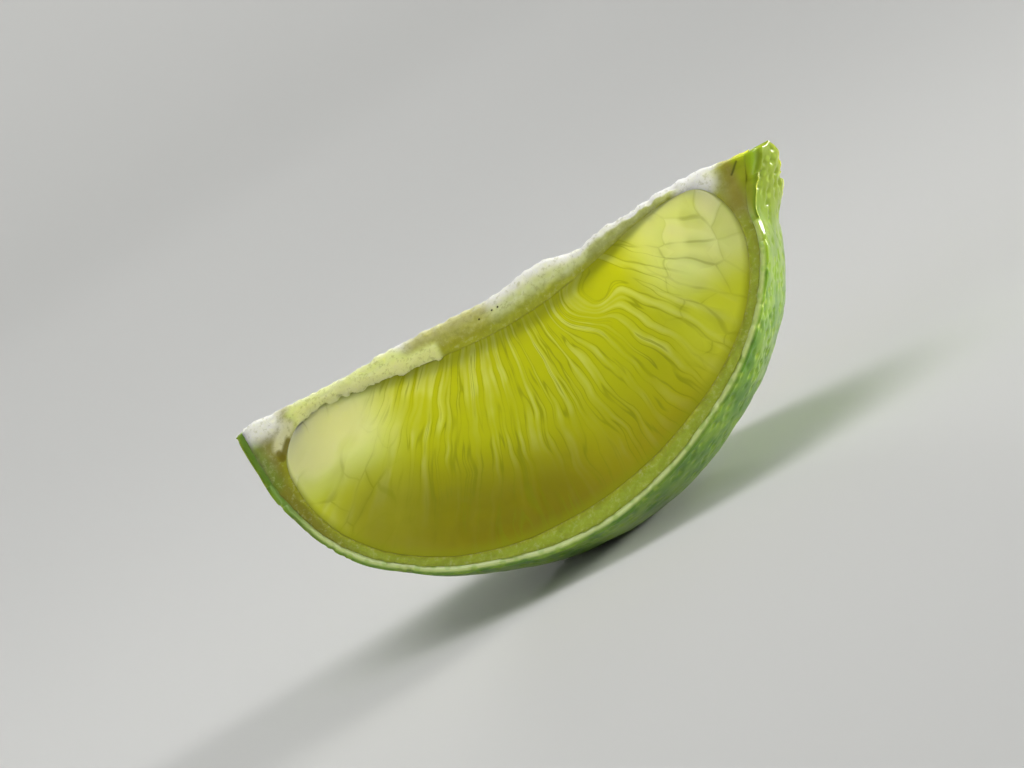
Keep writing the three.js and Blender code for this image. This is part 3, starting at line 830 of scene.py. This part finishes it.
def torn_lip(tree, x, r, angle, by_pulp):
    """1 where the torn membrane lies over the near cut, along the stem half of the core."""
    begins = add(tree, "ShaderNodeMapRange", {
        "Value": x, "From Min": LIP["from"] * MM, "From Max": (LIP["from"] + 1.5) * MM},
        interpolation_type="SMOOTHSTEP")
    ends = add(tree, "ShaderNodeMapRange", {
        "Value": x, "From Min": LIP["to"] * MM, "From Max": (LIP["to"] - 1.0) * MM},
        interpolation_type="SMOOTHSTEP")
    high = add(tree, "ShaderNodeMapRange", {
        "Value": r, "From Min": LIP["lowest_r"] * MM, "From Max": (LIP["lowest_r"] - 0.5) * MM})
    near = add(tree, "ShaderNodeMapRange", {
        "Value": angle, "From Min": -0.4 * WEDGE_ANGLE, "From Max": -0.5 * WEDGE_ANGLE})
    level = add(tree, "ShaderNodeMapRange", {"Value": by_pulp, "From Min": 0.2, "From Max": 0.6})
    product = begins.outputs[0]
    for mask in (ends, high, near, level):
        both = add(tree, "ShaderNodeMath", {0: product, 1: mask.outputs[0]}, operation="MULTIPLY")
        product = both.outputs[0]
    return product


print("the lip runs over", round(LIP["to"] - LIP["from"], 1), "mm of the core")

# %% [markdown]
# ## Fibres and the hem of the lip
# The knife leaves spongy pith a little rough, and the torn lip lies on top of that. Two small moves
# make this: fibres push the cut in and out, and the lip's hem slides away from the cut line, over
# the pulp, in uneven tongues. The roughness fades where the pith meets the pulp, so that the two
# stay level there, while the lip keeps its height up to the very hem.

# %% Fibres and hem
FIBRE_SIZE, FIBRE_LOW, FIBRE_HIGH = 1.1, -0.1, 0.12
TONGUE_SIZE = 1.4  # of the tongues along the lip's hem


def roughened(tree, position, normal, rag, angle, by_pulp, lip):
    """The cut pushed in and out by its fibres, and out where the lip lies on it."""
    fibre = add(tree, "ShaderNodeMapRange", {
        "Value": rag, "From Min": 0.3, "From Max": 0.7, "To Min": FIBRE_LOW * MM, "To Max": FIBRE_HIGH * MM})
    inland = add(tree, "ShaderNodeMapRange", {"Value": by_pulp, "From Min": 1.0, "From Max": 0.85})
    rough = add(tree, "ShaderNodeMath", {0: fibre.outputs[0], 1: inland.outputs[0]}, operation="MULTIPLY")
    raised = add(tree, "ShaderNodeMath", {
        0: lip, 1: LIP["height"] * MM, 2: rough.outputs[0]}, operation="MULTIPLY_ADD")
    cut = add(tree, "ShaderNodeMath", {
        0: raised.outputs[0], 1: on_cut(tree, angle, 1.2)}, operation="MULTIPLY")
    push = add(tree, "ShaderNodeVectorMath", {0: normal, "Scale": cut.outputs[0]}, operation="SCALE")
    return add(tree, "ShaderNodeVectorMath", {0: position, 1: push.outputs[0]}, operation="ADD").outputs[0]


def hem_slide(tree, position, by_pulp, lip):
    """How the lip's hem slides away from the cut line, over the pulp."""
    tear = add(tree, "ShaderNodeTexNoise", {
        "Vector": position, "Scale": 1 / (TONGUE_SIZE * MM), "Detail": 4.0})
    tongue = add(tree, "ShaderNodeMapRange", {
        "Value": tear.outputs[0], "From Min": 0.48, "From Max": 0.62, "To Max": LIP["overhang"] * MM})
    hem = add(tree, "ShaderNodeMapRange", {"Value": by_pulp, "From Min": 0.6, "From Max": 1.0})
    over = add(tree, "ShaderNodeMath", {0: tongue.outputs[0], 1: hem.outputs[0]}, operation="MULTIPLY")
    overhang = add(tree, "ShaderNodeMath", {0: over.outputs[0], 1: lip}, operation="MULTIPLY")
    lifted = add(tree, "ShaderNodeVectorMath", {0: position, 1: CUT_LINE}, operation="SUBTRACT")
    across = add(tree, "ShaderNodeVectorMath", {0: lifted.outputs[0], 1: (0, 1, 1)}, operation="MULTIPLY")
    outward = add(tree, "ShaderNodeVectorMath", {0: across.outputs[0]}, operation="NORMALIZE")
    return add(tree, "ShaderNodeVectorMath", {
        0: outward.outputs[0], "Scale": overhang.outputs[0]}, operation="SCALE").outputs[0]


print("the hem reaches up to", LIP["overhang"], "mm over the pulp")

# %% [markdown]
# ## The crest, and the whole relief of the pith
# The crest is where the core tore, so it is ragged and a little convex. It is lifted straight up, by
# the same noise as the fibres, and less and less towards the nipple. Then the moves are put together:
# roughness first, the hem next, then the crest, and the nipple last, as it stretches all of them.

# %% Crest and pith relief
CREST_CROWN, CREST_RAG = 0.35, 0.35


def crest_lift(tree, x, angle, rag):
    """How far the torn crest stands up: a low crown with ragged lumps, fading before the nipple."""
    turn_share = add(tree, "ShaderNodeMath", {0: angle, 1: 2 / WEDGE_ANGLE}, operation="MULTIPLY")
    squared = add(tree, "ShaderNodeMath", {0: turn_share.outputs[0], 1: 2.0}, operation="POWER")
    middle = add(tree, "ShaderNodeMath", {0: 1.0, 1: squared.outputs[0]}, operation="SUBTRACT")
    ragged = add(tree, "ShaderNodeMapRange", {
        "Value": rag, "From Min": 0.3, "From Max": 0.7,
        "To Min": -0.5 * CREST_RAG * MM, "To Max": 0.5 * CREST_RAG * MM})
    top = add(tree, "ShaderNodeMath", {
        0: middle.outputs[0], 1: CREST_CROWN * MM, 2: ragged.outputs[0]}, operation="MULTIPLY_ADD")
    before_tip = add(tree, "ShaderNodeMapRange", {
        "Value": x, "From Min": 25.4 * MM, "From Max": 22.5 * MM, "To Min": 0.1, "To Max": 1.0})
    return add(tree, "ShaderNodeMath", {
        0: top.outputs[0], 1: before_tip.outputs[0]}, operation="MULTIPLY").outputs[0]


def pith_relief(tree, position, normal):
    """Fibres all over the cuts, a ragged convex crest, the torn membrane, and the nipple."""
    x, r, angle = wedge_position(tree, position)
    crest = add(tree, "GeometryNodeInputNamedAttribute", {"Name": "crest"}, data_type="FLOAT").outputs[0]
    by_pulp = add(tree, "GeometryNodeInputNamedAttribute", {"Name": "by_pulp"}, data_type="FLOAT").outputs[0]
    rag = add(tree, "ShaderNodeTexNoise", {
        "Vector": position, "Scale": 1 / (FIBRE_SIZE * MM), "Detail": 3.0}).outputs[0]
    lip = torn_lip(tree, x, r, angle, by_pulp)
    rough = roughened(tree, position, normal, rag, angle, by_pulp, lip)
    slide = hem_slide(tree, position, by_pulp, lip)
    hung = add(tree, "ShaderNodeVectorMath", {0: rough, 1: slide}, operation="ADD")
    height = add(tree, "ShaderNodeMath", {
        0: crest_lift(tree, x, angle, rag), 1: crest}, operation="MULTIPLY")
    lift = add(tree, "ShaderNodeCombineXYZ", {"Z": height.outputs[0]})
    topped = add(tree, "ShaderNodeVectorMath", {0: hung.outputs[0], 1: lift.outputs[0]}, operation="ADD")
    away_from_pulp = add(tree, "ShaderNodeMath", {0: 1.0, 1: by_pulp}, operation="SUBTRACT")
    return nippled(tree, topped.outputs[0], away_from_pulp.outputs[0])


apply_relief(pith, "pith_relief", pith_relief)

# %% [markdown]
# ## The nipple's colours
# Towards the tip the tissue is brown where it has dried, and then yellow-green. Both pith and rind
# reach into the nipple, so both materials call one function, and the colours run on from one piece
# to the other without a seam. Two short dark marks are slits, where the tissue has split.

# %% Nipple colours
NIPPLE_BROWN = ((26.5, 0.8), (25.6, 4.4))
NIPPLE_GREENS = (("#a8b40c", 25.7, 26.8), ("#a8cc08", 26.9, 28.4))
NIPPLE_SLITS = (((26.75, 1.0), (25.85, 1.9)), ((29.1, 2.6), (28.2, 3.6)))


def nipple_paint(tree, under, x, r):
    """Brown, then yellow-green towards the tip, with the dark slits where the tissue has split."""
    brown = from_mark(tree, x, r, *NIPPLE_BROWN)
    under = painted(tree, under, "#a0943a", brown, 2.3 * MM, 0.3 * MM, most=0.75)
    for colour, start, end in NIPPLE_GREENS:
        under = painted(tree, under, colour, x, (start - X_CENTRE) * MM, (end - X_CENTRE) * MM, most=0.9)
    for start, end in NIPPLE_SLITS:
        under = painted(tree, under, "#4c5410", from_mark(tree, x, r, start, end), 0.2 * MM, 0.0, most=0.8)
    return under


print("nipple greens:", [colour for colour, _, _ in NIPPLE_GREENS])

# %% [markdown]
# ## The pith's colours
# Pith is white where it is dry, and yellow-green where juice has soaked in, next to the pulp. The core
# has a browner and a paler stretch, painted shade darkens the stem end to brown-olive and the seam
# along the pulp to olive, and the torn membrane is a bright pale yellow-green. These broad zones come
# first, each over the one before.

# %% Soaked pith
BROWN_CORE = ((-8.5, 2.0), (-3.0, 2.2))
PALE_CORE = ((-22.5, 2.0), (-12.5, 2.2))


def soaked_pith(tree, x, r, angle, by_pulp):
    """Juice-soaked white pith with the core's stains, painted shade by stem and pulp, and the torn membrane.
    """
    thin_end = add(tree, "ShaderNodeMapRange", {"Value": x, "From Min": 9.0 * MM, "From Max": 13.0 * MM})
    soaked = add(tree, "ShaderNodeMath", {0: thin_end.outputs[0], 1: by_pulp}, operation="MULTIPLY")
    tissue = linear("#f3f2e6")
    for colour, value, start, end, most in (
            ("#dfe4a8", by_pulp, 0.05, 0.35, 1.0),  # a little juice
            ("#b4ba40", by_pulp, 0.35, 0.8, 1.0),  # more juice
            ("#b0b568", soaked.outputs[0], 0.02, 0.2, 0.8),  # the thin end is wet through
            ("#acbe38", r, 5.0 * MM, 7.5 * MM, 1.0),  # the layer under the rind
            ("#8c8420", x, -21.0 * MM, -26.0 * MM, 0.8),  # painted shade, brown-olive towards the stem end
            ("#b4b010", from_mark(tree, x, r, *BROWN_CORE), 3.0 * MM, 0.8 * MM, 0.7),
            ("#eef8a0", from_mark(tree, x, r, *PALE_CORE), 2.4 * MM, 1.2 * MM, 0.9),
            ("#b0b41c", by_pulp, 0.55, 1.0, 0.7),  # painted shade along the seam with the pulp
            ("#f6ffa0", torn_lip(tree, x, r, angle, by_pulp), 0.0, 1.0, 0.95)):
        tissue = painted(tree, tissue, colour, value, start, end, most)
    return tissue


print("dry pith:", [round(c, 2) for c in linear("#f3f2e6")[:3]])

# %% [markdown]
# ## Marks on the pith
# Small marks keep a cut from looking made: a pale scrap, a green edge under the skin by the stem, the
# white corners, which are dry pith brightened with a painted highlight, a fine grain, a notch and
# three dark specks. The scrap, the notch and the specks are on the near cut only, since two cuts never
# have the same ones: for the far cut, x is pushed out of reach.

# %% Marks on the pith
PALE_SCRAP = ((-24.6, 2.4), (-25.9, 3.8))
STEM_EDGE = ((-29.0, 1.8), (-27.9, 7.0))
WHITE_CORNERS = (((-28.2, 0.9), (-26.2, 1.1)), ((21.6, 0.7), (23.0, 1.2)))
NOTCH = (((-26.3, 4.4), (-26.15, 5.0)), ((-24.95, 3.7), (-26.15, 5.0)))
SPECKS = ((-0.8, 2.1), (-0.1, 2.15), (-2.3, 2.3))
GRAIN_SIZE = 0.5  # the real grain is finer; it is drawn coarser, so that it shows
FAR_SIDE = math.radians(18)  # the far cut lies beyond this angle
FAR_AWAY = 1.0  # metres


def marked_pith(tree, tissue, coords, x, r, angle):
    """The same with its edges, corners and grain, and the marks of the near cut."""
    far_side = add(tree, "ShaderNodeMath", {0: angle, 1: FAR_SIDE}, operation="GREATER_THAN")
    near_x = add(tree, "ShaderNodeMath", {
        0: far_side.outputs[0], 1: FAR_AWAY, 2: x}, operation="MULTIPLY_ADD").outputs[0]
    grain = add(tree, "ShaderNodeTexNoise", {
        "Vector": coords, "Scale": 1 / (GRAIN_SIZE * MM), "Detail": 4.0, "Roughness": 0.7}).outputs[0]
    layers = [
        ("#e8e6b4", from_mark(tree, near_x, r, *PALE_SCRAP), 1.2 * MM, 0.5 * MM, 0.9),
        ("#7c9a26", from_mark(tree, x, r, *STEM_EDGE), 1.5 * MM, 0.3 * MM, 0.7),
        ("#a4ac34", x, 24.0 * MM, 25.4 * MM, 0.85)]  # the foot of the nipple
    # the white corners: dry pith, brightened with a painted highlight where the crest's ends catch the light
    layers += [("#f6f5ea", from_mark(tree, x, r, *line), 2.2 * MM, 0.5 * MM, 1.0) for line in WHITE_CORNERS]
    layers += [("#e6e9a6", grain, 0.5, 0.7, 0.28), ("#98983c", grain, 0.5, 0.34, 0.35)]
    layers += [("#857c14", from_mark(tree, near_x, r, *line), 0.5 * MM, 0.15 * MM, 0.9) for line in NOTCH]
    layers += [("#3a3408", from_mark(tree, near_x, r, speck, speck), 0.14 * MM, 0.06 * MM, 1.0)
               for speck in SPECKS]
    for colour, value, start, end, most in layers:
        tissue = painted(tree, tissue, colour, value, start, end, most)
    return tissue


print("specks on the near cut:", len(SPECKS))

# %% [markdown]
# ## The pith's finish: dry white pith
# Pith is loose and spongy, with much air between its cells, so it has hardly any gloss, and light
# that enters comes out again a millimetre or two away. Subsurface scattering with a short radius
# gives that soft, chalky look, and it is shorter still by the pulp, so that the sacs' edge stays crisp.

# %% Pith material
PITH_FREE_PATH, PITH_FREE_PATH_BY_PULP = 2.0, 0.5

# Dry and airy: matt, soft-edged shadows, and a faint inner light along the crest.
spongy, tree, shader = finish_material("dry_white_pith", {
    "Roughness": 0.8, "IOR": 1.33, "Subsurface Weight": 1.0, "Subsurface Radius": (1.0, 1.0, 0.8)})
coords = add(tree, "ShaderNodeTexCoord").outputs["Object"]
x, r, angle = wedge_position(tree, coords)
pulp_group = add(tree, "ShaderNodeAttribute", attribute_name="by_pulp", attribute_type="GEOMETRY")
by_pulp = pulp_group.outputs["Fac"]
tissue = marked_pith(tree, soaked_pith(tree, x, r, angle, by_pulp), coords, x, r, angle)
tree.links.new(nipple_paint(tree, tissue, x, r), shader.inputs["Base Color"])
free_path = add(tree, "ShaderNodeMapRange", {
    "Value": by_pulp, "From Min": 0.6, "From Max": 1.0,
    "To Min": PITH_FREE_PATH * MM, "To Max": PITH_FREE_PATH_BY_PULP * MM})
tree.links.new(free_path.outputs[0], shader.inputs["Subsurface Scale"])
pith.data.materials.append(spongy)
print(spongy.name, "has", len(tree.nodes), "nodes")

# %% [markdown]
# ## The rind's mesh
# The rind is the coloured outer skin, under a millimetre thick and full of oil glands. Spinning the
# bare outline gives a sheet, and Solidify gives it an even thickness inwards, with crisp rims where
# the knife went through. The modifier marks its inner shell in a vertex group, which later tells
# the material how deep under the skin each point of the cut is.

# %% Rind mesh
RIND_COLUMNS, RIND_SWEEP = 370, 100
rind = sweep(trace(SKIN_OUTLINE, RIND_COLUMNS), "waxy_rind", RIND_SWEEP)
rind.vertex_groups.new(name="inside")
wall = rind.modifiers.new("peel_thickness", "SOLIDIFY")
wall.thickness, wall.offset = RIND_THICKNESS * MM, -1.0
wall.use_even_offset = True
wall.shell_vertex_group = "inside"
bpy.ops.object.modifier_apply(modifier=wall.name)
print("rind faces:", len(rind.data.polygons))

# %% [markdown]
# ## The rind's relief
# Lime skin dimples over each oil gland, about a millimetre apart, and it has softer dents where the
# fruit pressed on its neighbours. Voronoi cells have one middle each, like glands, so the distance
# to it gives the pits. The relief is held off the inner shell, then the nipple is raised, and what
# would dip below the table is pressed flat, as the wedge's own weight does.

# %% Rind relief
PORE_SPACING, PORE_DEPTH = 1.0, 0.17
DENT_SIZE, DENT_LOW, DENT_HIGH = 5.0, -0.2, 0.02


def pores(tree, position):
    """Distance from the middle of the nearest oil gland, in gland spacings."""
    return add(tree, "ShaderNodeTexVoronoi", {
        "Vector": position, "Scale": 1 / (PORE_SPACING * MM), "Randomness": 0.85}).outputs["Distance"]


def rind_relief(tree, position, normal):
    """Pits over the oil glands, soft dents, the nipple and the flat underneath."""
    pit = add(tree, "ShaderNodeMapRange", {
        "Value": pores(tree, position), "From Min": 0.05, "From Max": 0.5,
        "To Min": -PORE_DEPTH * MM, "To Max": 0.0}, interpolation_type="SMOOTHSTEP")
    dents = add(tree, "ShaderNodeTexNoise", {
        "Vector": position, "Scale": 1 / (DENT_SIZE * MM), "Detail": 2.0})
    dent = add(tree, "ShaderNodeMapRange", {
        "Value": dents.outputs[0], "From Min": 0.3, "From Max": 0.7,
        "To Min": DENT_LOW * MM, "To Max": DENT_HIGH * MM})
    depth = add(tree, "ShaderNodeMath", {0: pit.outputs[0], 1: dent.outputs[0]}, operation="ADD")
    inside = add(tree, "GeometryNodeInputNamedAttribute", {"Name": "inside"}, data_type="FLOAT").outputs[0]
    outside = add(tree, "ShaderNodeMath", {0: 1.0, 1: inside}, operation="SUBTRACT")
    skin_only = add(tree, "ShaderNodeMath", {
        0: depth.outputs[0], 1: outside.outputs[0]}, operation="MULTIPLY")
    push = add(tree, "ShaderNodeVectorMath", {0: normal, "Scale": skin_only.outputs[0]}, operation="SCALE")
    moved = add(tree, "ShaderNodeVectorMath", {0: position, 1: push.outputs[0]}, operation="ADD")
    stretched = add(tree, "ShaderNodeSeparateXYZ", {0: nippled(tree, moved.outputs[0])})
    pressed = add(tree, "ShaderNodeMath", {0: stretched.outputs["Z"], 1: 0.0}, operation="MAXIMUM")
    return add(tree, "ShaderNodeCombineXYZ", {
        "X": stretched.outputs["X"], "Y": stretched.outputs["Y"], "Z": pressed.outputs[0]}).outputs[0]


apply_relief(rind, "rind_relief", rind_relief)

# %% [markdown]
# ## The rind's finish: waxy lime skin
# The skin is a mottled green, with oil glands that look lighter and a natural wax on top. One layer of
# gloss would look like plastic, so the gloss is in two: a rather rough base, and a thin smoother
# coat for the wax. Some subsurface scattering makes the skin look moist rather than painted. On the
# cut, the `inside` group turns the dark skin into its paler flesh within half a millimetre.

# %% Rind material
MOTTLE_SIZE = 3.0
SKIN_FREE_PATH = 1.5
GREEN_STEM = (-25.5, -28.0)  # x in mm, where the cut peel by the stem turns green

# Waxy: soft wide highlights with a thin sharper one on top, over a skin that lets in some light.
waxy, tree, shader = finish_material("waxy_lime_skin", {
    "Roughness": 0.34, "IOR": 1.45, "Subsurface Weight": 0.55, "Subsurface Radius": (1.0, 1.0, 0.6),
    "Subsurface Scale": SKIN_FREE_PATH * MM, "Coat Weight": 0.5, "Coat Roughness": 0.25})
coords = add(tree, "ShaderNodeTexCoord").outputs["Object"]
x, r, _ = wedge_position(tree, coords)
gland = pores(tree, coords)
mottle = add(tree, "ShaderNodeTexNoise", {
    "Vector": coords, "Scale": 1 / (MOTTLE_SIZE * MM), "Detail": 4.0}).outputs[0]
inside_group = add(tree, "ShaderNodeAttribute", attribute_name="inside", attribute_type="GEOMETRY")
under_skin = inside_group.outputs["Fac"]
skin = painted(tree, linear("#50800e"), "#8aac26", mottle, 0.3, 0.7)
skin = painted(tree, skin, "#8f9c04", x, 24.0 * MM, 28.5 * MM, most=0.7)
skin = painted(tree, skin, "#b4cc44", gland, 0.42, 0.15, most=0.45)
peel_flesh = painted(tree, linear("#c8dc7c"), "#98c030", gland, 0.45, 0.2, most=0.6)
peel_flesh = painted(tree, peel_flesh, "#6f9c1a", x, GREEN_STEM[0] * MM, GREEN_STEM[1] * MM, most=0.85)
peel_flesh = nipple_paint(tree, peel_flesh, x, r)
depth = add(tree, "ShaderNodeMapRange", {"Value": under_skin, "From Min": 0.2, "From Max": 0.5})
peel = add(tree, "ShaderNodeMix", {0: depth.outputs[0], 6: skin, 7: peel_flesh}, data_type="RGBA").outputs[2]
tree.links.new(peel, shader.inputs["Base Color"])
rind.data.materials.append(waxy)
print(waxy.name, "has", len(tree.nodes), "nodes")

# %% [markdown]
# ## Hand over to the frame
# Each piece rides on the wedge's one body and stands for one node.

# %% Ride, replace, measure
for piece, node in ((pulp, "pulp"), (pith, "pith"), (rind, "rind")):
    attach(piece, "root")
    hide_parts(node)
    low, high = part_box(node)
    print(node, "node from", [round(c / MM, 2) for c in low], "to", [round(c / MM, 2) for c in high])
